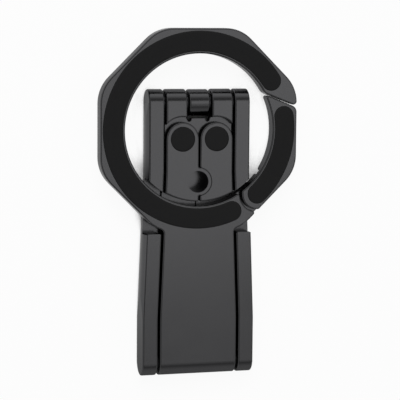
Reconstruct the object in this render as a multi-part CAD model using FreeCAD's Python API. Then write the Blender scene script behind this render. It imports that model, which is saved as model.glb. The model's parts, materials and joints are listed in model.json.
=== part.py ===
import FreeCAD, Part
import math
import os

# Folding magnetic phone stand, lying folded on its back.
# +X runs across the stand, +Y towards the ring, +Z out of the front face; millimetres.
# The folded stack is three layers deep: side rails, the leg base between them, and the
# clip ring whose arm folds down between the rails.

V = FreeCAD.Vector
X_AXIS = V(1, 0, 0)
Y_AXIS = V(0, 1, 0)
Z_AXIS = V(0, 0, 1)

# Stack of layers
STAND_THICKNESS = 7.7
RING_THICKNESS = 4.0
LAYER_GAP = 0.25
EDGE_RADIUS = 0.45
CORNER_RADIUS = 0.6
SHARP_ANGLE = 12.0
TOLERANCE = 0.001

# Soft pads and the magnets under them
PAD_OUTER_RADIUS = 28.0
PAD_WIDTH = 5.8
PAD_RECESS = 0.8
PAD_PROUD = 0.2
PAD_GAP = 0.05
PAD_NOSE_MARGIN = 1.11
PAD_PIVOT_MARGIN = 0.93
GATE_PAD_MARGIN = 0.82
MAGNET_INSET = 0.9
MAGNET_HEIGHT = 2.0
MAGNET_ANGLE = 13.4
MAGNET_PITCH_ANGLE = 14.3
MAGNET_GAP = 0.1

# Clip ring: a rounded octagon with a round hole, one casting with its arm
RING_RIM = 0.7
HOLE_RIM = 0.6
RING_CORNER_RADIUS = 10.5
RING_SIDES = 8
ARM_REACH = 66.65
ARM_END_HALF = 11.3
NECK_RADIUS = 1.4

# Spring gate in the ring's right side
PIVOT_ANGLE = -47.0
GATE_END_RIM = 1.65
GATE_END_GAP = 0.6
LUG_RIM = 2.5
LUG_GAP = 1.1
NOSE_ANGLE = 19.8
NOSE_SLOPE_ANGLE = -21.6
NOSE_GAP = 0.25
NOSE_TIP_RADIUS = 1.0
NOSE_INNER_RADIUS = 2.4
GATE_SHOULDER_RADIUS = 2.0
GATE_PIN_TOP_GAP = 0.1
GATE_PIN_WALL = 0.25
SPRING_WALL = 0.6
SPRING_WIRE = 0.4
SPRING_HALF_TURNS = 4
SPRING_PITCH = 0.42
SPRING_TAIL = 2.4
SPRING_BEND = 0.4
SPRING_HOOK = 0.5
SPRING_GAP = 0.15

# Side rails
SIDE_OPENING = 6.9
RAIL_TOP_WIDTH = 4.4
RAIL_END_WIDTH = 4.45
RAIL_CROWN = 0.25
SIDE_GAP = 0.6
FLARE_TOP_DROP = 9.5
FLARE_END_RISE = 12.65
RING_RUN_GAP = 1.3
POST_GAP = 0.6
POST_RADIUS = 2.0
POST_INNER_RADIUS = 0.8
FACET_DROP = 4.0
FACET_TILT_ANGLE = 2.5

# Hinge pins, sleeve and washers
HINGE_TOP_GAP = 2.49
HINGE_PIN_RADIUS = 1.25
RUNNING_GAP = 0.05
PIN_END_WALL = 1.2
SLEEVE_HALF = 2.95
SLEEVE_INSET = 0.1
KNUCKLE_GAP = 0.7
WASHER_INSET = 1.4
WASHER_GAP = 0.1

# Leg base
LEG_SLOT = 0.4
KNUCKLE_WEB = 0.06
EYE_GAP = 1.5
TONGUE_DROP = 2.0
TONGUE_THICKNESS = 2.5
CUTOUT_GAP = 0.7
RELIEF_RADIUS = 0.74
RELIEF_INSET = 1.0
RELIEF_DROP = 0.2
TONGUE_LOBE_INSET = 0.1
LEG_END_GAP = 3.6
LEG_END_RADIUS = 1.2
LEG_CORNER_RADIUS = 0.45
HUB_X = -0.48
HUB_INSET = 1.7
HUB_RADIUS = 4.0
HUB_GAP = 0.1
SOCKET_WALL = 0.9
CAP_RIM = 1.25
CAP_THICKNESS = 0.5
PIVOT_RADIUS = 1.5
PIVOT_HEAD_RIM = 0.7
PIVOT_HEAD_HEIGHT = 0.6

# Heights of the layers
front_z = STAND_THICKNESS
hinge_z = STAND_THICKNESS / 2
barrel_radius = STAND_THICKNESS / 2
ring_back_z = front_z - RING_THICKNESS
layer_top = ring_back_z - LAYER_GAP
recess_z = front_z - PAD_RECESS
magnet_z = recess_z - MAGNET_HEIGHT
lap_z = ring_back_z + RING_THICKNESS / 2
spring_rise = SPRING_PITCH * SPRING_HALF_TURNS / 2
coil_z = lap_z - spring_rise - SPRING_WIRE / 2
well_z = coil_z - SPRING_WIRE
hook_z = lap_z + LAYER_GAP / 2 + SPRING_HOOK
tongue_high = front_z - TONGUE_DROP
tongue_low = tongue_high - TONGUE_THICKNESS

# Ring, worked out from the pad; the origin is at the middle of the stand's footprint
ring_half = PAD_OUTER_RADIUS + RING_RIM
pad_inner_radius = PAD_OUTER_RADIUS - PAD_WIDTH
hole_radius = pad_inner_radius - HOLE_RIM
run_radius = hole_radius - RING_RUN_GAP
overall_length = ring_half + ARM_REACH + barrel_radius
ring_y = overall_length / 2 - ring_half
fold_y = ring_y - ARM_REACH
ring_centre = V(0, ring_y, 0)
far = 2 * overall_length

# Pad, gate and spring, about the middle of the pad's width
pad_mid_radius = (pad_inner_radius + PAD_OUTER_RADIUS) / 2
pad_end_radius = PAD_WIDTH / 2
magnet_half = pad_end_radius - MAGNET_INSET
gate_end_radius = pad_end_radius + GATE_END_RIM
lug_radius = pad_end_radius + LUG_RIM
well_radius = pad_end_radius + HOLE_RIM - SPRING_WALL
spring_radius = well_radius - SPRING_GAP - SPRING_WIRE / 2
hook_room = SPRING_WIRE / 2 + SPRING_GAP
gate_pin_radius = spring_radius - hook_room - GATE_PIN_WALL - RUNNING_GAP

# Rails and hinges, inside the ring's hole
rail_top_outer = hole_radius - SIDE_OPENING
rail_top_inner = rail_top_outer - RAIL_TOP_WIDTH
leg_outer = rail_top_inner - SIDE_GAP
rail_end_inner = ARM_END_HALF + SIDE_GAP
rail_end_outer = rail_end_inner + RAIL_END_WIDTH
hinge_rise = math.sqrt(run_radius ** 2 - rail_top_outer ** 2) - HINGE_TOP_GAP - barrel_radius
base_y = ring_y + hinge_rise
sleeve_radius = barrel_radius - SLEEVE_INSET
washer_radius = barrel_radius - WASHER_INSET
knuckle_inner = SLEEVE_HALF + KNUCKLE_GAP

# Legs, below the base hinge
eye_x = (leg_outer + LEG_SLOT / 2) / 2
eye_radius = (leg_outer - LEG_SLOT / 2) / 2
knuckle_arc_radius = eye_radius + EYE_GAP
eye_y = base_y - barrel_radius - KNUCKLE_WEB - knuckle_arc_radius
cap_radius = eye_radius - CAP_RIM
pivot_head_radius = cap_radius - PIVOT_HEAD_RIM
hub = V(HUB_X, ring_y - run_radius + HUB_INSET + HUB_RADIUS, 0)
socket_radius = HUB_RADIUS - SOCKET_WALL
leg_end_y = fold_y + barrel_radius + LEG_END_GAP
flare_top_y = eye_y - FLARE_TOP_DROP
flare_end_y = fold_y + FLARE_END_RISE
post_y = ring_y - ring_half - POST_GAP


def polar(radius, angle, z=0.0):
    """Point at a radius and angle about the ring's centre."""
    turn = math.radians(angle)
    return V(radius * math.cos(turn), ring_y + radius * math.sin(turn), z)


def nose_side_angle(distance):
    """Angle on the pad's middle circle at a distance from the line of the slanted nose."""
    square = NOSE_SLOPE_ANGLE + 90
    offset = pad_mid_radius * math.cos(math.radians(NOSE_ANGLE - square))
    return square - math.degrees(math.acos((offset + distance) / pad_mid_radius))


def chord_angle(chord):
    """Angle that a chord of the pad's middle circle spans."""
    return math.degrees(2 * math.asin(chord / (2 * pad_mid_radius)))


pivot = polar(pad_mid_radius, PIVOT_ANGLE)
pivot_room = gate_end_radius + GATE_END_GAP
hook_place = pivot + V(spring_radius, SPRING_BEND, 0)
ring_pad_start = nose_side_angle(PAD_NOSE_MARGIN + pad_end_radius)
ring_pad_end = 360 + PIVOT_ANGLE - chord_angle(pivot_room + PAD_PIVOT_MARGIN + pad_end_radius)
gate_pad_end = nose_side_angle(-NOSE_GAP - GATE_PAD_MARGIN - pad_end_radius)
gate_magnet_end = PIVOT_ANGLE + chord_angle(lug_radius + LUG_GAP + MAGNET_INSET)


def flare(y, top, end):
    """Size at height y that grows from top to end along the flare of the rails."""
    share = (flare_top_y - y) / (flare_top_y - flare_end_y)
    return top + (end - top) * min(max(share, 0.0), 1.0)


def rounded_outline(corners):
    """Closed wire through (point, radius) corners, each rounded by its own arc."""
    edges = []
    previous_end = None
    first_start = None
    for index, (corner, radius) in enumerate(corners):
        to_last = (corners[index - 1][0] - corner).normalize()
        to_next = (corners[(index + 1) % len(corners)][0] - corner).normalize()
        half_angle = to_last.getAngle(to_next) / 2
        reach = radius / math.tan(half_angle)
        start = corner + to_last * reach
        end = corner + to_next * reach
        if previous_end is None:
            first_start = start
        elif previous_end.distanceToPoint(start) > TOLERANCE:
            edges.append(Part.LineSegment(previous_end, start).toShape())
        if radius > 0:
            inward = (to_last + to_next).normalize()
            middle = corner + inward * (radius / math.sin(half_angle) - radius)
            edges.append(Part.Arc(start, middle, end).toShape())
        previous_end = end
    edges.append(Part.LineSegment(previous_end, first_start).toShape())
    return Part.Wire(edges)


def prism(wire, low, high):
    """Upright solid from a flat wire at z = 0."""
    return Part.Face(wire).extrude(V(0, 0, high - low)).translated(V(0, 0, low))


def polygon(points, low, high):
    return prism(Part.makePolygon(points + points[:1]), low, high)


def disc(radius, centre, low, high):
    return Part.makeCylinder(radius, high - low, V(centre.x, centre.y, low), Z_AXIS)


def block(x0, x1, y0, y1, z0, z1):
    return Part.makeBox(x1 - x0, y1 - y0, z1 - z0, V(x0, y0, z0))


def cross_rod(radius, x0, x1, y):
    """Round rod along X on a hinge axis."""
    return Part.makeCylinder(radius, x1 - x0, V(x0, y, hinge_z), X_AXIS)


def knuckle(radius, x0, x1, y):
    """Hinge barrel along X with rounded rims."""
    barrel = cross_rod(radius, x0, x1, y)
    rims = [edge for edge in barrel.Edges if isinstance(edge.Curve, Part.Circle)]
    return barrel.makeFillet(EDGE_RADIUS, rims)


def mirrored(shape):
    return shape.mirror(V(0, 0, 0), X_AXIS)


def fused(first, *others):
    return first.fuse(list(others)).removeSplitter()


def is_sharp(solid, edge):
    """True where the two faces along an edge meet at a clear angle."""
    middle = edge.valueAt((edge.FirstParameter + edge.LastParameter) / 2)
    normals = []
    for face in solid.ancestorsOfType(edge, Part.Face):
        normals.append(face.normalAt(*face.Surface.parameter(middle)))
    return len(normals) == 2 and normals[0].getAngle(normals[1]) > math.radians(SHARP_ANGLE)


def upright_corners(solid, above_y=-far):
    """Sharp corner edges that stand along Z."""
    corners = []
    for edge in solid.Edges:
        box = edge.BoundBox
        upright = max(box.XLength, box.YLength) < TOLERANCE
        if upright and box.YMin > above_y and is_sharp(solid, edge):
            corners.append(edge)
    return corners


def round_corner(solid, radius, place):
    """Round the sharp upright corner that is closest to a place in plan."""
    def distance(edge):
        return math.hypot(edge.CenterOfMass.x - place.x, edge.CenterOfMass.y - place.y)

    return solid.makeFillet(radius, [min(upright_corners(solid), key=distance)])


def soften_front(solid, below_y=far, above_y=-far):
    """Round the front face's rim, leaving out what lies outside the given Y limits."""
    rim = []
    for edge in solid.Edges:
        box = edge.BoundBox
        on_front = box.ZMin > front_z - TOLERANCE
        if on_front and box.YMax > above_y and box.YMin < below_y:
            rim.append(edge)
    return solid.makeFillet(EDGE_RADIUS, rim)


def arc_band(inner, outer, start, end, low, high):
    """Curved strip about the ring's centre with square ends."""
    middle = (start + end) / 2
    wire = Part.Wire([
        Part.Arc(polar(outer, start), polar(outer, middle), polar(outer, end)).toShape(),
        Part.LineSegment(polar(outer, end), polar(inner, end)).toShape(),
        Part.Arc(polar(inner, end), polar(inner, middle), polar(inner, start)).toShape(),
        Part.LineSegment(polar(inner, start), polar(outer, start)).toShape(),
    ])
    return prism(wire, low, high)


def pad_band(start, end, low, high, gap=0.0):
    """Curved strip with full-round ends, the form of a pad and, with no gap, of its recess."""
    inner = pad_inner_radius + gap
    outer = PAD_OUTER_RADIUS - gap
    strip = arc_band(inner, outer, start, end, low, high)
    ends = [disc(pad_end_radius - gap, polar(pad_mid_radius, angle), low, high) for angle in (start, end)]
    return fused(strip, *ends)


def magnet_angles(start, end):
    """Start angle of each magnet in a row that is centred between two angles."""
    count = int((end - start) // MAGNET_PITCH_ANGLE)
    first = (start + end - count * MAGNET_PITCH_ANGLE) / 2 + (MAGNET_PITCH_ANGLE - MAGNET_ANGLE) / 2
    return [first + index * MAGNET_PITCH_ANGLE for index in range(count)]


def magnet_row(start, end):
    magnets = []
    for angle in magnet_angles(start, end):
        magnets.append(arc_band(pad_mid_radius - magnet_half, pad_mid_radius + magnet_half,
                                angle, angle + MAGNET_ANGLE, magnet_z, recess_z))
    return Part.makeCompound(magnets)


def magnet_groove(start, end):
    """Groove under a pad that holds a row of magnets."""
    half = magnet_half + MAGNET_GAP
    angles = magnet_angles(start, end)
    return arc_band(pad_mid_radius - half, pad_mid_radius + half,
                    angles[0] - (MAGNET_PITCH_ANGLE - MAGNET_ANGLE) / 2,
                    angles[-1] + MAGNET_ANGLE + (MAGNET_PITCH_ANGLE - MAGNET_ANGLE) / 2,
                    magnet_z, recess_z)


def octagon_corner(half, index):
    """Corner of an octagon about the ring's centre, counted from the right side's upper end."""
    return polar(half / math.cos(math.pi / RING_SIDES), 360 / RING_SIDES * (index + 0.5))


def octagon_band(low, high):
    """The ring without its arm: rounded octagon with the round hole."""
    corners = [(octagon_corner(ring_half, index), RING_CORNER_RADIUS) for index in range(RING_SIDES)]
    return prism(rounded_outline(corners), low, high).cut(disc(hole_radius, ring_centre, low, high))


def crossing(place, way, other, other_way):
    """Point in plan where two lines meet, each given by a place on it and its way."""
    return place + way * ((other - place).cross(other_way).z / way.cross(other_way).z)


def right_arm_side():
    """Right half of the arm's outline, from the ring's rounded corner through the neck to the fold hinge."""
    side = V(flare(post_y, leg_outer, ARM_END_HALF), post_y, 0)
    flare_end = V(ARM_END_HALF, flare_end_y, 0)
    down = (flare_end - side).normalize()
    out = Z_AXIS.cross(down)
    bend = octagon_corner(ring_half - RING_CORNER_RADIUS, RING_SIDES - 2)
    room = RING_CORNER_RADIUS + NECK_RADIUS
    beside = side + out * NECK_RADIUS
    reach = (beside - bend).dot(out)
    neck = bend + out * reach + down * math.sqrt(room ** 2 - reach ** 2)
    if neck.x < bend.x:
        neck = crossing(beside, down, bend - Y_AXIS * room, X_AXIS)
    above = V(min(neck.x, bend.x), bend.y, 0)
    to_neck = (neck - above).normalize()
    touch = above + to_neck * RING_CORNER_RADIUS
    along = Z_AXIS.cross(to_neck)
    lower = octagon_corner(ring_half, RING_SIDES - 2)
    upper = octagon_corner(ring_half, RING_SIDES - 1)
    return [(crossing(touch, along, lower, upper - lower), RING_CORNER_RADIUS),
            (crossing(touch, along, side, down), NECK_RADIUS),
            (flare_end, ARM_REACH), (V(ARM_END_HALF, fold_y, 0), 0)]


def gate_side(nose_gap, low, high):
    """Wedge of the ring's right side between the slanted nose and the pivot's radius."""
    slope = math.radians(NOSE_SLOPE_ANGLE)
    along = V(math.cos(slope), math.sin(slope), 0)
    nose = polar(pad_mid_radius, NOSE_ANGLE) + V(along.y, -along.x, 0) * nose_gap
    inner = nose - along * (ring_half / 2)
    outer = nose + along * ring_half
    radius_ends = [polar(far, PIVOT_ANGLE), polar(pad_inner_radius / 2, PIVOT_ANGLE)]
    return polygon([inner, outer] + radius_ends, low, high)


def ring_layer(low, high, gate_space):
    """One thickness layer of ring and arm, with the gate's space cut and its corners rounded."""
    right = right_arm_side()
    left = [(V(-point.x, point.y, 0), radius) for point, radius in reversed(right)]
    upper_corners = range(RING_SIDES // 2, -2, -1)
    upper = [(octagon_corner(ring_half, index), RING_CORNER_RADIUS) for index in upper_corners]
    outline = rounded_outline(right + left + upper)
    layer = prism(outline, low, high).cut(disc(hole_radius, ring_centre, low, high)).cut(gate_space)
    layer = round_corner(layer, NOSE_INNER_RADIUS, polar(hole_radius, NOSE_ANGLE))
    layer = round_corner(layer, NOSE_TIP_RADIUS, polar(ring_half, NOSE_ANGLE))
    return layer.makeFillet(CORNER_RADIUS, upright_corners(layer, fold_y + EDGE_RADIUS))


def gate_pin_bore(radius):
    return disc(radius, pivot, ring_back_z, recess_z - GATE_PIN_TOP_GAP)


def spring_well():
    """Round well in the lug for the gate's spring, with the slot for its lower tail."""
    slot = block(pivot.x + spring_radius - hook_room, pivot.x + well_radius,
                 pivot.y - SPRING_TAIL - SPRING_GAP, pivot.y, well_z, lap_z)
    return disc(well_radius, pivot, well_z, lap_z).fuse(slot)


def ring_plate():
    """Ring and arm, with the pad's recess, the magnets' groove, the gate's lug and the fold barrel."""
    concave = disc(pivot_room, pivot, lap_z, front_z)
    upper = ring_layer(lap_z, front_z, gate_side(0, lap_z, front_z).fuse(concave))
    upper = soften_front(upper, above_y=fold_y + EDGE_RADIUS)
    lug = disc(lug_radius, pivot, ring_back_z, lap_z)
    lower = ring_layer(ring_back_z, lap_z, gate_side(0, ring_back_z, lap_z).cut(lug))
    plate = fused(upper, lower, knuckle(barrel_radius, -ARM_END_HALF, ARM_END_HALF, fold_y))
    plate = plate.cut(pad_band(ring_pad_start, ring_pad_end, recess_z, front_z))
    plate = plate.cut(magnet_groove(ring_pad_start, ring_pad_end))
    plate = plate.cut(gate_pin_bore(gate_pin_radius)).cut(spring_well())
    return plate.cut(cross_rod(HINGE_PIN_RADIUS + RUNNING_GAP, -far, far, fold_y))


def ring_pad():
    return pad_band(ring_pad_start, ring_pad_end, recess_z, front_z + PAD_PROUD, PAD_GAP)


def gate_layer(low, high, side):
    layer = octagon_band(low, high).common(side)
    layer = round_corner(layer, GATE_SHOULDER_RADIUS, polar(ring_half, 0))
    return layer.makeFillet(CORNER_RADIUS, upright_corners(layer))


def gate():
    """Swinging side of the ring: full depth, then half depth over the pivot lug."""
    upper_low = lap_z + LAYER_GAP / 2
    round_end = disc(gate_end_radius, pivot, upper_low, front_z)
    upper = gate_layer(upper_low, front_z, gate_side(NOSE_GAP, upper_low, front_z).fuse(round_end))
    upper = soften_front(upper)
    clear_of_lug = disc(lug_radius + LUG_GAP, pivot, ring_back_z, upper_low)
    lower = gate_layer(ring_back_z, upper_low, gate_side(NOSE_GAP, ring_back_z, upper_low).cut(clear_of_lug))
    body = fused(upper, lower)
    body = body.cut(pad_band(PIVOT_ANGLE, gate_pad_end, recess_z, front_z))
    body = body.cut(magnet_groove(gate_magnet_end, gate_pad_end))
    body = body.cut(disc(hook_room, hook_place, lap_z, hook_z + SPRING_GAP))
    return body.cut(gate_pin_bore(gate_pin_radius + RUNNING_GAP))


def gate_pad():
    return pad_band(PIVOT_ANGLE, gate_pad_end, recess_z, front_z + PAD_PROUD, PAD_GAP)


def wire_section(place):
    """Round section of the spring's wire where it runs along Y."""
    return Part.Face(Part.Wire(Part.makeCircle(SPRING_WIRE / 2, place, Y_AXIS)))


def coil_half(index):
    """Half turn of the gate's spring: a half torus, tilted so that the next one carries on from its end."""
    way = 1 if index % 2 == 0 else -1
    rise = SPRING_PITCH / 2
    start = V(way * spring_radius, 0, index * rise)
    end = V(-start.x, 0, start.z + rise)
    middle = (start + end) / 2
    return wire_section(start).revolve(middle, (start - middle).cross(Y_AXIS * way), 180)


def gate_spring():
    """Torsion spring round the gate's pin: lower tail in the lug's slot, upper hook in the gate."""
    tail = Part.makeCylinder(SPRING_WIRE / 2, SPRING_TAIL, V(spring_radius, 0, 0), -Y_AXIS)
    coil_end = V(spring_radius, 0, spring_rise)
    bend = wire_section(coil_end).revolve(coil_end + Z_AXIS * SPRING_BEND, X_AXIS, 90)
    coil = fused(tail, *[coil_half(index) for index in range(SPRING_HALF_TURNS)], bend)
    coil.translate(V(pivot.x, pivot.y, coil_z))
    hook = disc(SPRING_WIRE / 2, hook_place, coil_z + spring_rise + SPRING_BEND, hook_z)
    return fused(coil, hook)


def rail_section(y):
    """Cross-section of the right rail at height y: rounded edges and a crowned outer side."""
    inner = flare(y, rail_top_inner, rail_end_inner)
    outer = flare(y, rail_top_outer, rail_end_outer)
    diagonal = EDGE_RADIUS * (1 - math.sqrt(0.5))

    def at(x, z):
        return V(x, y, z)

    def corner(x, z, x_way, z_way):
        return Part.Arc(at(x, z + z_way * EDGE_RADIUS), at(x + x_way * diagonal, z + z_way * diagonal),
                        at(x + x_way * EDGE_RADIUS, z)).toShape()

    inner_foot = corner(inner, 0, 1, 1)
    outer_foot = corner(outer, 0, -1, 1)
    outer_edge = corner(outer, front_z, -1, -1)
    inner_edge = corner(inner, front_z, 1, -1)
    crown = Part.Arc(at(outer, EDGE_RADIUS), at(outer + RAIL_CROWN, hinge_z),
                     at(outer, front_z - EDGE_RADIUS))
    lines = [
        Part.LineSegment(at(inner + EDGE_RADIUS, 0), at(outer - EDGE_RADIUS, 0)),
        Part.LineSegment(at(outer - EDGE_RADIUS, front_z), at(inner + EDGE_RADIUS, front_z)),
        Part.LineSegment(at(inner, front_z - EDGE_RADIUS), at(inner, EDGE_RADIUS)),
    ]
    return Part.Wire([inner_foot, lines[0].toShape(), outer_foot, crown.toShape(), outer_edge,
                      lines[1].toShape(), inner_edge, lines[2].toShape()])


def ring_channel():
    """Space the folded ring needs across a rail: from the round end of the upper part to the post."""
    space = block(0, far, post_y - barrel_radius, ring_y, layer_top, far)
    inner = flare(post_y, rail_top_inner, rail_end_inner)
    outer = flare(post_y, rail_top_outer, rail_end_outer) + RAIL_CROWN
    foot_y = post_y - 2 * barrel_radius
    post = rounded_outline([(V(inner, post_y, 0), POST_INNER_RADIUS), (V(outer, post_y, 0), POST_RADIUS),
                            (V(outer + RAIL_END_WIDTH, foot_y, 0), 0), (V(inner - SIDE_GAP, foot_y, 0), 0)])
    return space.cut(disc(run_radius, ring_centre, layer_top, far)).cut(prism(post, layer_top, far))


def rail():
    """Right side rail: a flared bar with a hinge barrel at each end and a channel for the ring."""
    stations = [rail_section(y) for y in (base_y, flare_top_y, flare_end_y, fold_y)]
    bar = Part.makeLoft(stations, True, True)
    body = fused(bar, knuckle(barrel_radius, rail_top_inner, rail_top_outer, base_y),
                 knuckle(barrel_radius, rail_end_inner, rail_end_outer, fold_y))
    facet = block(0, far, 0, far, -far, far)
    facet.rotate(V(0, 0, 0), Z_AXIS, FACET_TILT_ANGLE)
    facet.translate(V(rail_top_outer + RAIL_CROWN, base_y - FACET_DROP, 0))
    flat_top_y = (flare_top_y + flare_end_y) / 2
    body = body.cut(facet).cut(block(rail_end_outer, far, -far, flat_top_y, -far, far))
    body = body.cut(ring_channel())
    for y, outer in ((base_y, rail_top_outer), (fold_y, rail_end_outer)):
        body = body.cut(cross_rod(HINGE_PIN_RADIUS, 0, outer - PIN_END_WALL, y))
    return body


def hinge_pin(outer, y):
    half = outer - PIN_END_WALL
    return cross_rod(HINGE_PIN_RADIUS, -half, half, y)


def washer_pair(x0, x1, y):
    """Two mirrored washers that fill the gap from x0 to x1 on a hinge pin."""
    washer = cross_rod(washer_radius, x0 + WASHER_GAP, x1 - WASHER_GAP, y)
    washer = washer.cut(cross_rod(HINGE_PIN_RADIUS + RUNNING_GAP, x0, x1, y))
    return [washer, mirrored(washer)]


def hinge_sleeve():
    """Plain round barrel in the middle of the base hinge."""
    sleeve = knuckle(sleeve_radius, -SLEEVE_HALF, SLEEVE_HALF, base_y)
    return sleeve.cut(cross_rod(HINGE_PIN_RADIUS + RUNNING_GAP, -far, far, base_y))


def eye(side):
    return V(side * eye_x, eye_y, 0)


def knuckle_block():
    """Right knuckle of the base hinge, hollowed round the leg's eye."""
    body = block(knuckle_inner, leg_outer, eye_y, base_y, 0, front_z)
    body = body.cut(disc(knuckle_arc_radius, eye(1), 0, front_z))
    body = soften_front(body, below_y=base_y - EDGE_RADIUS)
    return fused(body, knuckle(barrel_radius, knuckle_inner, leg_outer, base_y))


def leg_carrier():
    """Hinge block of the base: two knuckles on a tongue that carries both leg pivots."""
    cutout_y = base_y - sleeve_radius - CUTOUT_GAP
    tongue = block(-leg_outer, leg_outer, eye_y, base_y, tongue_low, tongue_high)
    lobes = [disc(eye_radius - TONGUE_LOBE_INSET, eye(side), tongue_low, tongue_high) for side in (1, -1)]
    tongue = fused(tongue, *lobes)
    right = knuckle_block()
    body = fused(tongue, right, mirrored(right))
    body = body.cut(block(-knuckle_inner, knuckle_inner, cutout_y, far, -far, far))
    for side in (1, -1):
        relief = V(side * (knuckle_inner - RELIEF_INSET), cutout_y - RELIEF_DROP, 0)
        body = body.cut(disc(RELIEF_RADIUS, relief, tongue_low, tongue_high))
        body = body.cut(disc(PIVOT_RADIUS, eye(side), tongue_low, tongue_high))
    return body.cut(cross_rod(HINGE_PIN_RADIUS + RUNNING_GAP, -far, far, base_y))


def leg_outline(side):
    """Plan of one leg: a full-round eye, a straight inner side and an outer side that flares."""
    inner = side * LEG_SLOT / 2
    outer = side * leg_outer
    outer_end = side * ARM_END_HALF
    eye_top = eye_y + eye_radius
    return rounded_outline([
        (V(inner, eye_top, 0), eye_radius), (V(outer, eye_top, 0), eye_radius),
        (V(outer, flare_top_y, 0), 0), (V(outer_end, flare_end_y, 0), 0),
        (V(outer_end, leg_end_y, 0), LEG_END_RADIUS), (V(inner, leg_end_y, 0), LEG_END_RADIUS)])


def leg(side):
    """One leg: thick inside the ring's hole, thin under ring and arm, its eye forked for the tongue."""
    thick = prism(leg_outline(side), 0, front_z).common(disc(run_radius, ring_centre, 0, front_z))
    tail = prism(leg_outline(side), 0, layer_top)
    if side < 0:
        thick = fused(thick, disc(HUB_RADIUS, hub, 0, front_z))
    else:
        hub_room = disc(HUB_RADIUS + HUB_GAP, hub, 0, front_z)
        thick = thick.cut(hub_room)
        tail = tail.cut(hub_room)
    thick = thick.makeFillet(LEG_CORNER_RADIUS, upright_corners(thick))
    body = fused(soften_front(thick), tail)
    fork_low = tongue_low - LAYER_GAP
    fork_high = tongue_high + LAYER_GAP
    fork = disc(eye_radius + SIDE_GAP, eye(side), fork_low, fork_high)
    fork = fork.fuse(block(-far, far, eye_y, far, fork_low, fork_high))
    body = body.cut(fork)
    head_z = front_z - CAP_THICKNESS - PIVOT_HEAD_HEIGHT
    body = body.cut(disc(PIVOT_RADIUS + RUNNING_GAP, eye(side), 0, front_z))
    body = body.cut(disc(pivot_head_radius + RUNNING_GAP, eye(side), head_z - RUNNING_GAP, front_z))
    body = body.cut(disc(cap_radius + PAD_GAP, eye(side), front_z - CAP_THICKNESS, front_z))
    return body.cut(disc(socket_radius, hub, layer_top, front_z))


def leg_pivot(side):
    """Headed pivot of one leg, through both lobes of its eye and the carrier's tongue."""
    head_top = front_z - CAP_THICKNESS
    shank = disc(PIVOT_RADIUS, eye(side), 0, head_top)
    return fused(shank, disc(pivot_head_radius, eye(side), head_top - PIVOT_HEAD_HEIGHT, head_top))


def leg_cap(side):
    """Round soft cap over a leg's pivot, flush with the front."""
    return disc(cap_radius, eye(side), front_z - CAP_THICKNESS, front_z)


def build():
    right_rail = rail()
    inner_washers = washer_pair(SLEEVE_HALF, knuckle_inner, base_y)
    outer_washers = washer_pair(leg_outer, rail_top_inner, base_y)
    return {
        "ring_plate": ring_plate(),
        "ring_pad": ring_pad(),
        "ring_magnets": magnet_row(ring_pad_start, ring_pad_end),
        "gate": gate(),
        "gate_pad": gate_pad(),
        "gate_magnets": magnet_row(gate_magnet_end, gate_pad_end),
        "gate_pin": gate_pin_bore(gate_pin_radius),
        "gate_spring": gate_spring(),
        "right_rail": right_rail,
        "left_rail": mirrored(right_rail),
        "base_hinge_pin": hinge_pin(rail_top_outer, base_y),
        "fold_hinge_pin": hinge_pin(rail_end_outer, fold_y),
        "hinge_sleeve": hinge_sleeve(),
        "base_hinge_washers": Part.makeCompound(inner_washers + outer_washers),
        "fold_hinge_washers": Part.makeCompound(washer_pair(ARM_END_HALF, rail_end_inner, fold_y)),
        "leg_carrier": leg_carrier(),
        "left_leg": leg(-1),
        "right_leg": leg(1),
        "left_leg_pivot": leg_pivot(-1),
        "right_leg_pivot": leg_pivot(1),
        "left_leg_cap": leg_cap(-1),
        "right_leg_cap": leg_cap(1),
    }


os.makedirs("parts", exist_ok=True)
for node, shape in build().items():
    shape.exportStep(f"parts/{node}.step")
    print(node, len(shape.Solids), "solid(s), volume", round(shape.Volume, 2), "valid", shape.isValid())
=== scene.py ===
"""Dresses a folding magnetic phone stand in its finishes and sets it in a plain studio."""
import json
import math

import bmesh
import bpy
from bpy.props import FloatProperty, FloatVectorProperty, IntProperty, PointerProperty
from mathutils import Euler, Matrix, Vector


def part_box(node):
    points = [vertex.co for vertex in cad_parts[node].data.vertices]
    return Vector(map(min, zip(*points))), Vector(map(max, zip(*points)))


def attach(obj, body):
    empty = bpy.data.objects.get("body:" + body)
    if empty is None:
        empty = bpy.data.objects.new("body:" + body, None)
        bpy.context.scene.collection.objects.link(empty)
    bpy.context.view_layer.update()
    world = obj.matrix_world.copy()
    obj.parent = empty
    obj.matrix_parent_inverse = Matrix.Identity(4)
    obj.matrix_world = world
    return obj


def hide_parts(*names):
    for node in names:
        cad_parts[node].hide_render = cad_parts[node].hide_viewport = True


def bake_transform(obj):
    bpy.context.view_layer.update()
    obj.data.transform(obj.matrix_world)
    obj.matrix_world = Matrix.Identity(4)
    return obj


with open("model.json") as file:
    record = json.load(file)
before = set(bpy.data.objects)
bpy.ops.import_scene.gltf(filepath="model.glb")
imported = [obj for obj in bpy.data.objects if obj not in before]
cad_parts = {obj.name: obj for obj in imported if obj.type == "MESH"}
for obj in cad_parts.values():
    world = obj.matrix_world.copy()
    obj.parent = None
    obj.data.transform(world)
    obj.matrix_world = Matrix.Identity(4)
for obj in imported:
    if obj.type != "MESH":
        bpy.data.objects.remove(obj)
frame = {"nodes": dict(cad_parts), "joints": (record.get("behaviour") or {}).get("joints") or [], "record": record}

bl_info = {
    "name": "Folding Phone Stand",
    "version": (1, 0, 0),
    "blender": (4, 5, 0),
    "location": "View3D > Sidebar > Phone Stand",
    "description": "Dresses a folding magnetic phone stand and sets up its studio",
    "category": "Object",
}

MM = 0.001
WHITE = (1, 1, 1, 1)

# Gap between the hub and the right leg, and how near points count as the same
SEAM_GAP = 0.1 * MM
SAME_PLACE = 0.1 * MM
WELD_REACH = 0.001 * MM

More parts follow.
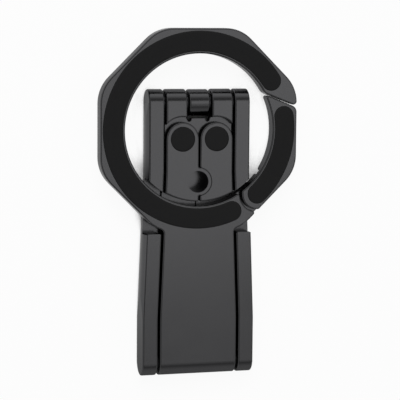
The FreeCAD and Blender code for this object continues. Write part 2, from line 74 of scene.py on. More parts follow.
# The camera that fits the photo, from the middle of the ring's front
CAMERA_FROM_RING = Vector((-127.496, 37.217, 470.707)) * MM
CAMERA_TURN = [math.radians(turn) for turn in (-6.793, -15.120, 0.469)]

# Fineness of the noises in the finishes, and their middle value
CLOUD_DETAIL = 4
GRAIN_DETAIL = 2
LINE_DETAIL = 3
STAIN_DETAIL = 6
NOISE_MIDDLE = 0.5

# Fineness of the floor's contact shade
SHADE_SAMPLES = 16

# Sockets of a Mix node that mixes colours
MIX_SHARE, MIX_FIRST, MIX_SECOND = 0, 6, 7
MIX_RESULT = 2

# Nodes by finish, and pieces with the nodes that they replace
CASTINGS = ("ring_plate", "gate", "left_rail", "right_rail", "hinge_sleeve", "leg_carrier")
LEGS = {"left_hub_leg": "left_leg", "right_hub_leg": "right_leg"}
STEEL_PIECES = ("gate_pin", "base_hinge_pin", "fold_hinge_pin", "base_hinge_washers",
                "fold_hinge_washers", "left_leg_pivot", "right_leg_pivot")
MAGNET_ROWS = ("ring_magnets", "gate_magnets")
FACE_PADS = {"ring_face_pad": ("ring_pad", "ring"), "gate_face_pad": ("gate_pad", "gate")}
LEG_DISCS = {"left_leg_disc": "left_leg_cap", "right_leg_disc": "right_leg_cap"}

# Places taken from the frame
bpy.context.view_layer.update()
ring_pad_low, ring_pad_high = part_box("ring_pad")
pad_outer_radius = -ring_pad_low.x
ring_centre = Vector((0.0, ring_pad_high.y - pad_outer_radius))
gate_pivot = next(Vector(joint["pos_m"]) for joint in frame["joints"] if joint["name"] == "gate_swing")
pad_mid_radius = (gate_pivot.to_2d() - ring_centre).length
pad_half_width = pad_outer_radius - pad_mid_radius
hub_socket = next(mount for mount in frame["record"]["mounts"] if mount["name"] == "leg_socket")
hub_centre = Vector(hub_socket["pos_m"]).to_2d()
socket_radius = hub_socket["dims"]["r_mm"] * MM
socket_length = hub_socket["dims"]["length_mm"] * MM
ring_front = ring_centre.to_3d() + Vector((0.0, 0.0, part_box("ring_plate")[1].z))


class MetalFinish(bpy.types.PropertyGroup):
    """Satin dark metal of the castings"""

    dark: FloatVectorProperty(
        name="Dark Tone", description="Darker tone of the satin skin",
        subtype="COLOR", size=4, min=0, max=1, default=(0.084, 0.084, 0.087, 1))
    light: FloatVectorProperty(
        name="Light Tone", description="Lighter tone of the satin skin",
        subtype="COLOR", size=4, min=0, max=1, default=(0.096, 0.096, 0.099, 1))
    edge: FloatVectorProperty(
        name="Grazing Tint", description="Tint of reflections at a grazing angle",
        subtype="COLOR", size=4, min=0, max=1, default=(0.5, 0.5, 0.5, 1))
    roughness: FloatProperty(
        name="Roughness", description="Middle roughness of the satin skin",
        subtype="FACTOR", min=0, max=1, default=0.21)
    roughness_spread: FloatProperty(
        name="Roughness Spread", description="How far the roughness varies",
        subtype="FACTOR", min=0, max=1, default=0.06)
    cloud_size: FloatProperty(
        name="Cloud Size", description="Size of the soft clouds in the tone",
        subtype="DISTANCE", min=0, default=9 * MM)
    grain_size: FloatProperty(
        name="Grain Size", description="Size of the blasted grain",
        subtype="DISTANCE", min=0, default=0.16 * MM)
    grain_depth: FloatProperty(
        name="Grain Depth", description="Depth of the blasted grain",
        subtype="DISTANCE", min=0, default=0.0016 * MM)


class PadFinish(bpy.types.PropertyGroup):
    """Matte silicone of the face pads and leg discs, and their edges"""

    dark: FloatVectorProperty(
        name="Dark Tone", description="Darker tone of the silicone",
        subtype="COLOR", size=4, min=0, max=1, default=(0.0066, 0.0066, 0.0068, 1))
    light: FloatVectorProperty(
        name="Light Tone", description="Lighter tone of the silicone",
        subtype="COLOR", size=4, min=0, max=1, default=(0.0086, 0.0086, 0.0088, 1))
    roughness: FloatProperty(
        name="Roughness", description="Middle roughness of the silicone",
        subtype="FACTOR", min=0, max=1, default=0.72)
    specular: FloatProperty(
        name="Specular Level", description="Strength of the silicone's reflections",
        subtype="FACTOR", min=0, max=1, default=0.17)
    roughness_spread: FloatProperty(
        name="Roughness Spread", description="How far the roughness varies",
        subtype="FACTOR", min=0, max=1, default=0.16)
    cloud_size: FloatProperty(
        name="Cloud Size", description="Size of the soft clouds in the tone",
        subtype="DISTANCE", min=0, default=5 * MM)
    pebble_size: FloatProperty(
        name="Pebble Size", description="Size of the pebbled skin",
        subtype="DISTANCE", min=0, default=0.22 * MM)
    pebble_depth: FloatProperty(
        name="Pebble Depth", description="Depth of the pebbled skin",
        subtype="DISTANCE", min=0, default=0.012 * MM)
    edge_radius: FloatProperty(
        name="Edge Radius", description="Rounding of a pad's upper edge",
        subtype="DISTANCE", min=0, default=0.22 * MM)
    crown: FloatProperty(
        name="Crown", description="How far a pad's middle stands above its edge",
        subtype="DISTANCE", min=0, default=0.03 * MM)
    edge_steps: IntProperty(
        name="Edge Steps", description="Points across a pad's rounded edge",
        min=2, default=4)
    crown_steps: IntProperty(
        name="Crown Steps", description="Points from a pad's edge to its middle",
        min=2, default=5)
    arc_steps: IntProperty(
        name="Arc Steps", description="Points along a pad's long side",
        min=8, default=120)
    end_steps: IntProperty(
        name="End Steps", description="Points along a pad's round end",
        min=4, default=20)
    disc_steps: IntProperty(name="Disc Steps", description="Points round a leg disc", min=12, default=72)


class HubSeam(bpy.types.PropertyGroup):
    """Seam between the left leg's hub and the right leg, and the hub's socket"""

    wall: FloatProperty(
        name="Hub Wall", description="Wall of the hub round its socket",
        subtype="DISTANCE", min=0, default=0.9 * MM)
    socket_depth: FloatProperty(
        name="Socket Depth", description="Depth of the hub's socket",
        subtype="DISTANCE", min=0, default=5.9 * MM)
    edge: FloatProperty(
        name="Casting Edge", description="Rounding of the castings' edges",
        subtype="DISTANCE", min=0, default=0.46 * MM)
    sharpness: FloatProperty(
        name="Sharpness", description="How far the seam's rounding is taken back",
        subtype="FACTOR", min=0, max=1, default=0.8)
    spread_start: FloatProperty(
        name="Spread Start", description="Angle to the hub's side up to which the seam is full",
        subtype="ANGLE", min=0, default=math.radians(74))
    spread_end: FloatProperty(
        name="Spread End", description="Angle to the hub's side at which the seam fades out",
        subtype="ANGLE", min=0, default=math.radians(85))


class SpringWire(bpy.types.PropertyGroup):
    """Wire and winding of the gate's torsion spring"""

    thickness: FloatProperty(
        name="Thickness", description="Thickness of the wire",
        subtype="DISTANCE", min=0, default=0.4 * MM)
    turns: IntProperty(name="Turns", description="Turns of the coil", min=1, default=2)
    pitch: FloatProperty(
        name="Pitch", description="Rise of the coil in one turn",
        subtype="DISTANCE", min=0, default=0.42 * MM)
    bend: FloatProperty(
        name="Bend", description="Radius of the bend from the coil to its hook",
        subtype="DISTANCE", min=0, default=0.4 * MM)
    turn_steps: IntProperty(name="Turn Steps", description="Points along one turn", min=8, default=48)
    wire_steps: IntProperty(name="Wire Steps", description="Points round the wire", min=6, default=16)


class SteelFinish(bpy.types.PropertyGroup):
    """Blackened steel of the pins, washers and spring"""

    dark: FloatVectorProperty(
        name="Dark Tone", description="Darker tone of the turned steel",
        subtype="COLOR", size=4, min=0, max=1, default=(0.045, 0.045, 0.048, 1))
    light: FloatVectorProperty(
        name="Light Tone", description="Lighter tone of the turned steel",
        subtype="COLOR", size=4, min=0, max=1, default=(0.11, 0.11, 0.115, 1))
    roughness: FloatProperty(
        name="Roughness", description="Middle roughness of the turned steel",
        subtype="FACTOR", min=0, max=1, default=0.34)
    roughness_spread: FloatProperty(
        name="Roughness Spread", description="How far the roughness varies",
        subtype="FACTOR", min=0, max=1, default=0.2)
    line_size: FloatProperty(
        name="Line Size", description="Spacing of the turning lines",
        subtype="DISTANCE", min=0, default=0.12 * MM)
    line_length: FloatProperty(
        name="Line Length", description="How many spacings long a turning line is",
        min=1, default=20.0)
    line_depth: FloatProperty(
        name="Line Depth", description="Depth of the turning lines",
        subtype="DISTANCE", min=0, default=0.002 * MM)


class MagnetFinish(bpy.types.PropertyGroup):
    """Nickel plating of the magnets"""

    dark: FloatVectorProperty(
        name="Dark Tone", description="Tone of the plating's stains",
        subtype="COLOR", size=4, min=0, max=1, default=(0.36, 0.34, 0.31, 1))
    light: FloatVectorProperty(
        name="Light Tone", description="Tone of the clean plating",
        subtype="COLOR", size=4, min=0, max=1, default=(0.62, 0.6, 0.56, 1))
    roughness: FloatProperty(
        name="Roughness", description="Middle roughness of the plating",
        subtype="FACTOR", min=0, max=1, default=0.28)
    roughness_spread: FloatProperty(
        name="Roughness Spread", description="How far the roughness varies",
        subtype="FACTOR", min=0, max=1, default=0.3)
    stain_size: FloatProperty(
        name="Stain Size", description="Size of the plating's stains",
        subtype="DISTANCE", min=0, default=1.5 * MM)


class Studio(bpy.types.PropertyGroup):
    """Camera, floor and lights"""

    camera_place: FloatVectorProperty(
        name="Camera Place", description="Where the camera stands",
        subtype="TRANSLATION", size=3, default=ring_front + CAMERA_FROM_RING)
    camera_turn: FloatVectorProperty(
        name="Camera Turn", description="How the camera is turned",
        subtype="EULER", size=3, default=CAMERA_TURN)
    lens: FloatProperty(
        name="Lens", description="Focal length in millimetres",
        unit="CAMERA", min=1, default=155.85)
    floor_half: FloatProperty(
        name="Floor Half", description="Half the floor's width",
        subtype="DISTANCE", min=0, default=3.0)
    floor_gap: FloatProperty(
        name="Floor Gap", description="Hair's breadth between the stand and the floor",
        subtype="DISTANCE", min=0, default=0.02 * MM)
    floor_tone: FloatVectorProperty(
        name="Floor Tone", description="Colour of the floor",
        subtype="COLOR", size=4, min=0, max=1, default=(0.5, 0.5, 0.5, 1))
    floor_white: FloatProperty(
        name="Floor White", description="Share of plain white in the floor's look",
        subtype="FACTOR", min=0, max=1, default=0.94)
    # Painted contact shade: the floor's white fades where an occlusion test finds the stand close by
    shade_reach: FloatProperty(
        name="Shade Reach", description="How far the stand's contact shade spreads",
        subtype="DISTANCE", min=0, default=7 * MM)
    shade_start: FloatProperty(
        name="Shade Start", description="Share of open sky at which the floor is darkest",
        subtype="FACTOR", min=0, max=1, default=0.36)
    shade_end: FloatProperty(
        name="Shade End", description="Share of open sky at which the floor is white",
        subtype="FACTOR", min=0, max=1, default=0.5)
    # Painted shade in the floor's mirror image: reflections of the floor lose their white towards the hinge end
    reflection_shade_start: FloatProperty(
        name="Mirror Start", description="Where the floor's mirror image is darkest",
        subtype="DISTANCE", default=-62 * MM)
    reflection_shade_end: FloatProperty(
        name="Mirror End", description="Where the floor's mirror image is white",
        subtype="DISTANCE", default=-20 * MM)
    room: FloatProperty(
        name="Room Light", description="Strength of the even light from all around",
        min=0, default=0.2)
    far_glow: FloatProperty(
        name="Far Glow", description="Added light from the ring's end of the room",
        min=0, default=0.85)
    near_glow: FloatProperty(
        name="Near Glow", description="Added light from the hinge end of the room",
        min=0, default=0.32)
    glow_start: FloatProperty(
        name="Glow Start", description="How far towards an end of the room its glow begins",
        subtype="FACTOR", min=0, max=1, default=0.5)
    side_glow: FloatProperty(
        name="Side Glow", description="Added light from both sides of the room",
        min=0, default=0.36)
    side_start: FloatProperty(
        name="Side Start", description="How far towards a side of the room its glow begins",
        subtype="FACTOR", min=0, max=1, default=0.36)
    side_end: FloatProperty(
        name="Side End", description="How far towards a side of the room its glow is full",
        subtype="FACTOR", min=0, max=1, default=0.7)
    overhead_place: FloatVectorProperty(
        name="Overhead Place", description="Where the overhead softbox hangs",
        subtype="TRANSLATION", size=3, default=(0.24, 0.065, 0.86))
    overhead_size: FloatProperty(
        name="Overhead Size", description="Side of the overhead softbox",
        subtype="DISTANCE", min=0, default=0.42)
    overhead_radiance: FloatProperty(
        name="Overhead Radiance", description="Brightness of the overhead softbox",
        min=0, default=0.87)
    near_place: FloatVectorProperty(
        name="Near Place", description="Where the softbox over the hinge end hangs",
        subtype="TRANSLATION", size=3, default=(0.24, -0.295, 0.86))
    near_size: FloatProperty(
        name="Near Size", description="Side of the softbox over the hinge end",
        subtype="DISTANCE", min=0, default=0.3)
    near_radiance: FloatProperty(
        name="Near Radiance", description="Brightness of the softbox over the hinge end",
        min=0, default=0.38)
    key_place: FloatVectorProperty(
        name="Key Place", description="Where the key softbox stands",
        subtype="TRANSLATION", size=3, default=(-0.2, 0.7, 0.85))
    key_size: FloatProperty(
        name="Key Size", description="Side of the key softbox",
        subtype="DISTANCE", min=0, default=0.7)
    key_radiance: FloatProperty(
        name="Key Radiance", description="Brightness of the key softbox",
        min=0, default=9.0)


class PhoneStand(bpy.types.PropertyGroup):
    """All settings of the phone stand"""

    metal: PointerProperty(type=MetalFinish, name="Metal", description="Finish of the castings")
    pads: PointerProperty(type=PadFinish, name="Pads", description="Finish and edges of the soft pieces")
    steel: PointerProperty(
        type=SteelFinish, name="Steel", description="Finish of pins, washers and spring")
    seam: PointerProperty(
        type=HubSeam, name="Hub Seam", description="Seam and socket of the left leg's hub")
    spring: PointerProperty(
        type=SpringWire, name="Spring", description="Wire and winding of the gate's spring")
    magnets: PointerProperty(type=MagnetFinish, name="Magnets", description="Finish of the magnets")
    studio: PointerProperty(type=Studio, name="Studio", description="Camera, floor and lights")


class Signal:
    """A socket of a shader graph that can be used in Python arithmetic."""

    def __init__(self, graph, socket):
        self.graph = graph
        self.socket = socket

    def maths(self, operation, first, second):
        return self.graph.node("ShaderNodeMath", {"operation": operation}, {0: first, 1: second})

    def __add__(self, other):
        return self.maths("ADD", self, other)

    def __radd__(self, other):
        return self.maths("ADD", other, self)

    def __sub__(self, other):
        return self.maths("SUBTRACT", self, other)

    def __rsub__(self, other):
        return self.maths("SUBTRACT", other, self)

    def __mul__(self, other):
        return self.maths("MULTIPLY", self, other)

    def __rmul__(self, other):
        return self.maths("MULTIPLY", other, self)


class Graph:
    """The shader nodes of a material or of the world."""

    def __init__(self, owner):
        owner.use_nodes = True
        self.tree = owner.node_tree
        self.tree.nodes.clear()

    def node(self, kind, settings, sockets, output=0):
        """Add a node, set it up, feed its sockets and return one of its outputs."""
        node = self.tree.nodes.new(kind)
        for name, value in settings.items():
            setattr(node, name, value)
        for name, value in sockets.items():
            if isinstance(value, Signal):
                self.tree.links.new(value.socket, node.inputs[name])
            else:
                node.inputs[name].default_value = value
        return Signal(self, node.outputs[output]) if node.outputs else None

    def place(self):
        """The surface's place in the object's own space."""
        return self.node("ShaderNodeTexCoord", {}, {}, "Object")

    def stretched(self, scale):
        """The surface's place with each axis scaled by itself."""
        return self.node("ShaderNodeVectorMath", {"operation": "MULTIPLY"}, {0: self.place(), 1: scale})

    def noise(self, place, size, detail):
        """Soft noise from 0 to 1, with spots of a given size."""
        sockets = {"Vector": place, "Scale": 1 / size, "Detail": detail}
        return self.node("ShaderNodeTexNoise", {}, sockets, "Fac")

    def blend(self, share, first, second):
        """Colour between two, by a share."""
        sockets = {MIX_SHARE: share, MIX_FIRST: first, MIX_SECOND: second}
        return self.node("ShaderNodeMix", {"data_type": "RGBA"}, sockets, MIX_RESULT)

    def rise(self, value, start, end):
        """Soft rise from 0 to 1 while a value goes from start to end."""
        sockets = {"Value": value, "From Min": start, "From Max": end}
        return self.node("ShaderNodeMapRange", {"interpolation_type": "SMOOTHSTEP"}, sockets)

    def bump(self, height, depth):
        """Normal of a surface that is raised by a height."""
        return self.node("ShaderNodeBump", {}, {"Height": height, "Distance": depth, "Strength": 1.0})

    def surface(self, sockets):
        """End a material's graph in a principled shader."""
        shader = self.node("ShaderNodeBsdfPrincipled", {}, sockets)
        self.node("ShaderNodeOutputMaterial", {}, {"Surface": shader})


def satin_metal(finish):
    """Dark metal with soft clouds in its tone and a fine blasted grain."""
    material = bpy.data.materials.new("satin_dark_metal")
    graph = Graph(material)
    place = graph.place()
    cloud = graph.noise(place, finish.cloud_size, CLOUD_DETAIL)
    grain = graph.noise(place, finish.grain_size, GRAIN_DETAIL)
    graph.surface({
        "Base Color": graph.blend(cloud, finish.dark, finish.light),
        "Metallic": 1.0,
        "Roughness": finish.roughness + finish.roughness_spread * (cloud + grain - 2 * NOISE_MIDDLE),
        "Specular Tint": finish.edge,
        "Normal": graph.bump(grain, finish.grain_depth),
    })
    return material


def matte_silicone(finish):
    """Dark silicone with a pebbled skin."""
    material = bpy.data.materials.new("matte_silicone")
    graph = Graph(material)
    place = graph.place()
    cloud = graph.noise(place, finish.cloud_size, CLOUD_DETAIL)
    pebbles = graph.node("ShaderNodeTexVoronoi", {"feature": "SMOOTH_F1"},
                         {"Vector": place, "Scale": 1 / finish.pebble_size}, "Distance")
    graph.surface({
        "Base Color": graph.blend(cloud, finish.dark, finish.light),
        "Roughness": finish.roughness + finish.roughness_spread * (cloud - NOISE_MIDDLE),
        "Specular IOR Level": finish.specular,
        "Normal": graph.bump(1 - pebbles, finish.pebble_depth),
    })
    return material


def turned_steel(finish):
    """Dark steel with fine turning lines."""
    material = bpy.data.materials.new("blackened_steel")
    graph = Graph(material)
    along = 1 / finish.line_length
    lines = graph.noise(graph.stretched((1.0, along, along)), finish.line_size, LINE_DETAIL)
    graph.surface({
        "Base Color": graph.blend(lines, finish.dark, finish.light),
        "Metallic": 1.0,
        "Roughness": finish.roughness + finish.roughness_spread * (lines - NOISE_MIDDLE),
        "Normal": graph.bump(lines, finish.line_depth),
    })
    return material


def nickel_plate(finish):
    """Bright plating with stains."""
    material = bpy.data.materials.new("nickel_plate")
    graph = Graph(material)
    stain = graph.noise(graph.place(), finish.stain_size, STAIN_DETAIL)
    graph.surface({
        "Base Color": graph.blend(stain, finish.dark, finish.light),
        "Metallic": 1.0,
        "Roughness": finish.roughness + finish.roughness_spread * (NOISE_MIDDLE - stain),
    })
    return material


def coat(mesh, material):
    """Make a material the only one of a mesh."""
    mesh.materials.clear()
    mesh.materials.append(material)


def dress(nodes, material):
    """Give nodes of the frame their finish."""
    for node in nodes:
        coat(frame["nodes"][node].data, material)


def added(name, data):
    """New object in the scene."""
    thing = bpy.data.objects.new(name, data)
    bpy.context.scene.collection.objects.link(thing)
    return thing


def band_ends(node):
    """Angles about the ring's centre at which a pad's two round ends are centred."""
    spokes = [vertex.co.to_2d() - ring_centre for vertex in frame["nodes"][node].data.vertices]
    middle = sum(spokes, Vector((0.0, 0.0)))
    turns = [middle.angle_signed(spoke) for spoke in spokes]
    end_turn = math.asin(pad_half_width / pad_mid_radius)
    middle_angle = math.atan2(middle.y, middle.x)
    return middle_angle - max(turns) + end_turn, middle_angle - min(turns) - end_turn


def arc(centre, radius, start, end, steps):
    """Points along an arc, without its last one."""
    points = []
    for step in range(steps):
        angle = start + (end - start) * step / steps
        points.append(centre + radius * Vector((math.cos(angle), math.sin(angle))))
    return points


def band_outline(ends, pads, inset):
    """Outline of a curved band with full-round ends, drawn in by an inset."""
    start, end = ends
    first_end = ring_centre + pad_mid_radius * Vector((math.cos(start), math.sin(start)))
    last_end = ring_centre + pad_mid_radius * Vector((math.cos(end), math.sin(end)))
    reach = pad_half_width - inset
    return (arc(ring_centre, pad_mid_radius + reach, start, end, pads.arc_steps)
            + arc(last_end, reach, end, end + math.pi, pads.end_steps)
            + arc(ring_centre, pad_mid_radius - reach, end, start, pads.arc_steps)
            + arc(first_end, reach, start + math.pi, start + 2 * math.pi, pads.end_steps))


def pad_profile(low, high, half_width, pads):
    """Steps of (inset, height) over a soft piece, from the middle of its back to that of its face."""
    shoulder = high - pads.crown
    radius = pads.edge_radius
    steps = [(half_width, low), (radius / 2, low), (0.0, low + radius / 2), (0.0, shoulder - radius)]
    for step in range(1, pads.edge_steps + 1):
        angle = math.pi / 2 * step / pads.edge_steps
        steps.append((radius * (1 - math.cos(angle)), shoulder - radius * (1 - math.sin(angle))))
    for step in range(1, pads.crown_steps + 1):
        share = step / pads.crown_steps
        inset = radius + (half_width - radius) * share
        steps.append((inset, shoulder + pads.crown * (1 - (1 - share) ** 2)))
    return steps


def lofted(name, loops):
    """Closed smooth mesh through loops of points; a loop whose points coincide closes it."""
    shape = bmesh.new()
    rows = [[shape.verts.new(point) for point in loop] for loop in loops]
    for lower, upper in zip(rows, rows[1:]):
        for index in range(len(lower)):
            shape.faces.new((lower[index - 1], lower[index], upper[index], upper[index - 1]))
    bmesh.ops.remove_doubles(shape, verts=shape.verts, dist=WELD_REACH)
    bmesh.ops.recalc_face_normals(shape, faces=shape.faces)
    mesh = bpy.data.meshes.new(name)
    shape.to_mesh(mesh)
    shape.free()
    mesh.shade_smooth()
    return added(name, mesh)


def soft_piece(name, node, body, profile, outline, material):
    """Soft piece that takes a node's place: the outline drawn in and raised along the profile."""
    loops = [[point.to_3d() + Vector((0, 0, height)) for point in outline(inset)]
             for inset, height in profile]
    piece = lofted(name, loops)
    piece.data.materials.append(material)
    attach(piece, body)
    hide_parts(node)


def deepen_socket(mesh, seam, top):
    """Sink the floor of the hub's socket, which only the left leg has."""
    for vertex in mesh.vertices:
        reach = (vertex.co.to_2d() - hub_centre).length
        depth = top - vertex.co.z
        if reach < socket_radius + SAME_PLACE and abs(depth - socket_length) < SAME_PLACE:
            vertex.co.z = top - seam.socket_depth


def sharpen_seam(mesh, seam, top):
    """Take back the rounded edges on both sides of the seam round the hub."""
    hub_radius = socket_radius + seam.wall
    for vertex in mesh.vertices:
        spoke = vertex.co.to_2d() - hub_centre
        depth = top - vertex.co.z
        offset = spoke.length - hub_radius
        if depth > seam.edge or abs(offset) > seam.edge + SEAM_GAP:
            continue
        angle = abs(math.atan2(spoke.y, spoke.x))
        fade = min(max((seam.spread_end - angle) / (seam.spread_end - seam.spread_start), 0), 1)
        keep = 1 - seam.sharpness * fade
        rim = min(max(offset, 0), SEAM_GAP)
        flat = hub_centre + spoke.normalized() * (hub_radius + rim + (offset - rim) * keep)
        vertex.co = (flat.x, flat.y, top - depth * keep)


def spring_path(wire, low, high):
    """Points along the wire: its tail in the ring, the coil, the bend and its hook in the gate."""
    radius = (high.x - low.x - wire.thickness) / 2
    base_z = low.z + wire.thickness / 2
    top_z = base_z + wire.turns * wire.pitch
    axis = gate_pivot.to_2d()
    points = [Vector((axis.x + radius, low.y, base_z))]
    steps = wire.turns * wire.turn_steps
    winding = arc(axis, radius, 0, wire.turns * 2 * math.pi, steps)
    points += [point.to_3d() + Vector((0, 0, base_z + (top_z - base_z) * step / steps))
               for step, point in enumerate(winding)]
    bend_side = Vector((0.0, top_z + wire.bend))
    bend = arc(bend_side, wire.bend, -math.pi / 2, 0, wire.wire_steps)
    points += [Vector((axis.x + radius, axis.y + point.x, point.y)) for point in bend]
    return points + [Vector((axis.x + radius, axis.y + wire.bend, height))
                     for height in (top_z + wire.bend, high.z)]


def wire_loops(path, thickness, steps):
    """Rings of points round a path, closed by a point at each end."""
    loops = [[path[0]] * steps]
    side = Vector((0.0, 0.0, 1.0))
    turns = [2 * math.pi * step / steps for step in range(steps)]
    for index, point in enumerate(path):
        along = (path[min(index + 1, len(path) - 1)] - path[max(index - 1, 0)]).normalized()
        side = (side - along * side.dot(along)).normalized()
        across = along.cross(side)
        loops.append([point + thickness / 2 * (math.cos(turn) * side + math.sin(turn) * across)
                      for turn in turns])
    return loops + [[path[-1]] * steps]


def seen_directly(graph, mirrored):
    """1 for rays from the camera or through glass, a share for mirrored ones (on the floor, a painted shade
    towards the hinge end), 0 for all others.
    """
    ray = "ShaderNodeLightPath"
    camera = graph.node(ray, {}, {}, "Is Camera Ray")
    glossy = graph.node(ray, {}, {}, "Is Glossy Ray")
    clear = graph.node(ray, {}, {}, "Is Transmission Ray")
    return camera + clear + mirrored * glossy


def add_floor(studio):
    """Pale floor that looks white in the open, with painted contact shade near the stand and painted shade in its
    mirror image towards the hinge end.
    """
    half = studio.floor_half
    mesh = bpy.data.meshes.new("studio_floor")
    corners = [(-half, -half, 0), (half, -half, 0), (half, half, 0), (-half, half, 0)]
    mesh.from_pydata(corners, [], [(0, 1, 2, 3)])
    material = bpy.data.materials.new("pale_floor")
    graph = Graph(material)
    paint = graph.node("ShaderNodeBsdfDiffuse", {}, {"Color": studio.floor_tone})
    white = graph.node("ShaderNodeEmission", {}, {"Color": WHITE, "Strength": 1.0})
    # Painted contact shade: an occlusion test takes the floor's white away near and under the stand
    openness = graph.node("ShaderNodeAmbientOcclusion", {"samples": SHADE_SAMPLES},
                          {"Distance": studio.shade_reach}, "AO")
    open_share = graph.rise(openness, studio.shade_start, studio.shade_end)
    # Painted shade in the floor's mirror image: glossy rays see less white towards the hinge end
    along = graph.node("ShaderNodeSeparateXYZ", {}, {"Vector": graph.place()}, "Y")
    mirrored = graph.rise(along, studio.reflection_shade_start, studio.reflection_shade_end)
    share = studio.floor_white * open_share * seen_directly(graph, mirrored)
    look = graph.node("ShaderNodeMixShader", {}, {0: share, 1: paint, 2: white})
    graph.node("ShaderNodeOutputMaterial", {}, {"Surface": look})
    mesh.materials.append(material)
    floor = added("studio_floor", mesh)
    floor.location.z = -studio.floor_gap


def add_room(scene, studio):
    """Even light from all around, with a glow at both ends and both sides."""
    scene.world = bpy.data.worlds.new("studio_room")
    graph = Graph(scene.world)
    way = graph.node("ShaderNodeTexCoord", {}, {}, "Generated")
    across = graph.node("ShaderNodeSeparateXYZ", {}, {"Vector": way}, "X")
    along = graph.node("ShaderNodeSeparateXYZ", {}, {"Vector": way}, "Y")
    far = graph.rise(along, studio.glow_start, 1)
    near = graph.rise(0 - along, studio.glow_start, 1)
    sides = graph.rise(across * across, studio.side_start ** 2, studio.side_end ** 2)
    ends = studio.far_glow * far + studio.near_glow * near
    strength = studio.room + ends + studio.side_glow * sides
    light = graph.node("ShaderNodeBackground", {}, {"Color": WHITE, "Strength": strength})
    graph.node("ShaderNodeOutputWorld", {}, {"Surface": light})


def add_softbox(name, place, size, radiance, mirrored):
    """Square soft light that faces the stand, with its brightness per area."""
    light = bpy.data.lights.new(name, "AREA")
    light.shape = "SQUARE"
    light.size = size
    light.energy = radiance * size ** 2 * math.pi
    box = added(name, light)
    box.location = place
    box.rotation_euler = (-Vector(place)).to_track_quat("-Z", "Y").to_euler()
    box.visible_glossy = mirrored


def add_softboxes(studio):
    """Two softboxes that show in the metal, and a key that only lights."""
    add_softbox("overhead_softbox", studio.overhead_place, studio.overhead_size,
                studio.overhead_radiance, True)
    add_softbox("near_softbox", studio.near_place, studio.near_size, studio.near_radiance, True)
    add_softbox("key_softbox", studio.key_place, studio.key_size, studio.key_radiance, False)


def add_camera(scene, studio):
    """Camera that fits the photo."""
    lens = bpy.data.cameras.new("photo_camera")
    lens.lens = studio.lens
    camera = added("photo_camera", lens)
    camera.location = studio.camera_place
    camera.rotation_euler = Euler(studio.camera_turn)
    scene.camera = camera


class PHONE_STAND_OT_castings(bpy.types.Operator):
    """Finish the ring, gate, rails and hinge blocks in satin dark metal"""

    bl_idname = "phone_stand.castings"
    bl_label = "Dark Metal Castings"

    def execute(self, context):
        dress(CASTINGS, satin_metal(context.scene.phone_stand.metal))
        return {"FINISHED"}


class PHONE_STAND_OT_legs(bpy.types.Operator):
    """Make the two legs, with a hairline seam round the left one's hub and a deep socket in it"""

    bl_idname = "phone_stand.legs"
    bl_label = "Legs"

    def execute(self, context):
        settings = context.scene.phone_stand
        material = satin_metal(settings.metal)
        for name, node in LEGS.items():
            mesh = frame["nodes"][node].data.copy()
            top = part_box(node)[1].z
            deepen_socket(mesh, settings.seam, top)
            sharpen_seam(mesh, settings.seam, top)
            coat(mesh, material)
            piece = added(name, mesh)
            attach(piece, "base")
            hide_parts(node)
        return {"FINISHED"}


class PHONE_STAND_OT_steel(bpy.types.Operator):
    """Finish the pins and washers in blackened steel"""

    bl_idname = "phone_stand.steel"
    bl_label = "Steel Pins and Washers"

    def execute(self, context):
        dress(STEEL_PIECES, turned_steel(context.scene.phone_stand.steel))
        return {"FINISHED"}


class PHONE_STAND_OT_spring(bpy.types.Operator):
    """Wind the gate's torsion spring"""

    bl_idname = "phone_stand.spring"
    bl_label = "Gate Spring"

    def execute(self, context):
        settings = context.scene.phone_stand
        wire = settings.spring
        low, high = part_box("gate_spring")
        path = spring_path(wire, low, high)
        piece = lofted("gate_torsion_spring", wire_loops(path, wire.thickness, wire.wire_steps))
        piece.data.materials.append(turned_steel(settings.steel))
        coil_start = gate_pivot.to_2d().to_3d() + Vector((0, 0, low.z + wire.thickness))
        coil_end = coil_start + Vector((0, 0, wire.turns * wire.pitch - wire.thickness))
        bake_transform(piece)
        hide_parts("gate_spring")
        return {"FINISHED"}


class PHONE_STAND_OT_magnets(bpy.types.Operator):
    """Finish the magnets in nickel plate"""

    bl_idname = "phone_stand.magnets"
    bl_label = "Magnets"

    def execute(self, context):
        dress(MAGNET_ROWS, nickel_plate(context.scene.phone_stand.magnets))
        return {"FINISHED"}


class PHONE_STAND_OT_face_pads(bpy.types.Operator):
    """Make the curved silicone pads of the ring and of the gate"""

    bl_idname = "phone_stand.face_pads"
    bl_label = "Face Pads"

    def execute(self, context):
        pads = context.scene.phone_stand.pads
        material = matte_silicone(pads)
        for name, (node, body) in FACE_PADS.items():
            low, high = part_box(node)
            ends = band_ends(node)
            soft_piece(name, node, body, pad_profile(low.z, high.z, pad_half_width, pads),
                       lambda inset: band_outline(ends, pads, inset), material)
        return {"FINISHED"}


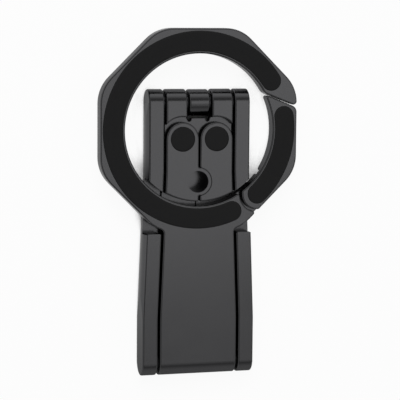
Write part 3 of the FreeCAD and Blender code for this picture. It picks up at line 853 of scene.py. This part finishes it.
class PHONE_STAND_OT_leg_discs(bpy.types.Operator):
    """Make the round silicone discs over the leg pivots"""

    bl_idname = "phone_stand.leg_discs"
    bl_label = "Leg Discs"

    def execute(self, context):
        pads = context.scene.phone_stand.pads
        material = matte_silicone(pads)
        for name, node in LEG_DISCS.items():
            low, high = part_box(node)
            centre = ((low + high) / 2).to_2d()
            radius = (high.x - low.x) / 2
            full_turn = 2 * math.pi
            soft_piece(name, node, "base", pad_profile(low.z, high.z, radius, pads),
                       lambda inset: arc(centre, radius - inset, 0, full_turn, pads.disc_steps), material)
        return {"FINISHED"}


class PHONE_STAND_OT_stage(bpy.types.Operator):
    """Set up the floor, the soft lights, the room and the camera"""

    bl_idname = "phone_stand.stage"
    bl_label = "Studio Stage"

    def execute(self, context):
        studio = context.scene.phone_stand.studio
        add_floor(studio)
        add_room(context.scene, studio)
        add_softboxes(studio)
        add_camera(context.scene, studio)
        context.scene.view_settings.view_transform = "Standard"
        return {"FINISHED"}


STEPS = (PHONE_STAND_OT_castings, PHONE_STAND_OT_legs, PHONE_STAND_OT_steel, PHONE_STAND_OT_spring,
         PHONE_STAND_OT_magnets, PHONE_STAND_OT_face_pads, PHONE_STAND_OT_leg_discs, PHONE_STAND_OT_stage)


class PHONE_STAND_PT_steps(bpy.types.Panel):
    """Lists the stand's pieces and its stage"""

    bl_idname = "PHONE_STAND_PT_steps"
    bl_label = "Phone Stand"
    bl_space_type = "VIEW_3D"
    bl_region_type = "UI"
    bl_category = "Phone Stand"

    def draw(self, context):
        for step in STEPS:
            self.layout.operator(step.bl_idname)


SETTINGS = (MetalFinish, PadFinish, HubSeam, SpringWire, SteelFinish, MagnetFinish, Studio, PhoneStand)
CLASSES = SETTINGS + STEPS + (PHONE_STAND_PT_steps,)


def register():
    for cls in CLASSES:
        bpy.utils.register_class(cls)
    bpy.types.Scene.phone_stand = PointerProperty(type=PhoneStand)


def unregister():
    del bpy.types.Scene.phone_stand
    for cls in reversed(CLASSES):
        bpy.utils.unregister_class(cls)


def main():
    register()
    bpy.ops.phone_stand.castings()
    bpy.ops.phone_stand.legs()
    bpy.ops.phone_stand.steel()
    bpy.ops.phone_stand.spring()
    bpy.ops.phone_stand.magnets()
    bpy.ops.phone_stand.face_pads()
    bpy.ops.phone_stand.leg_discs()
    bpy.ops.phone_stand.stage()


if __name__ == "__main__":
    main()
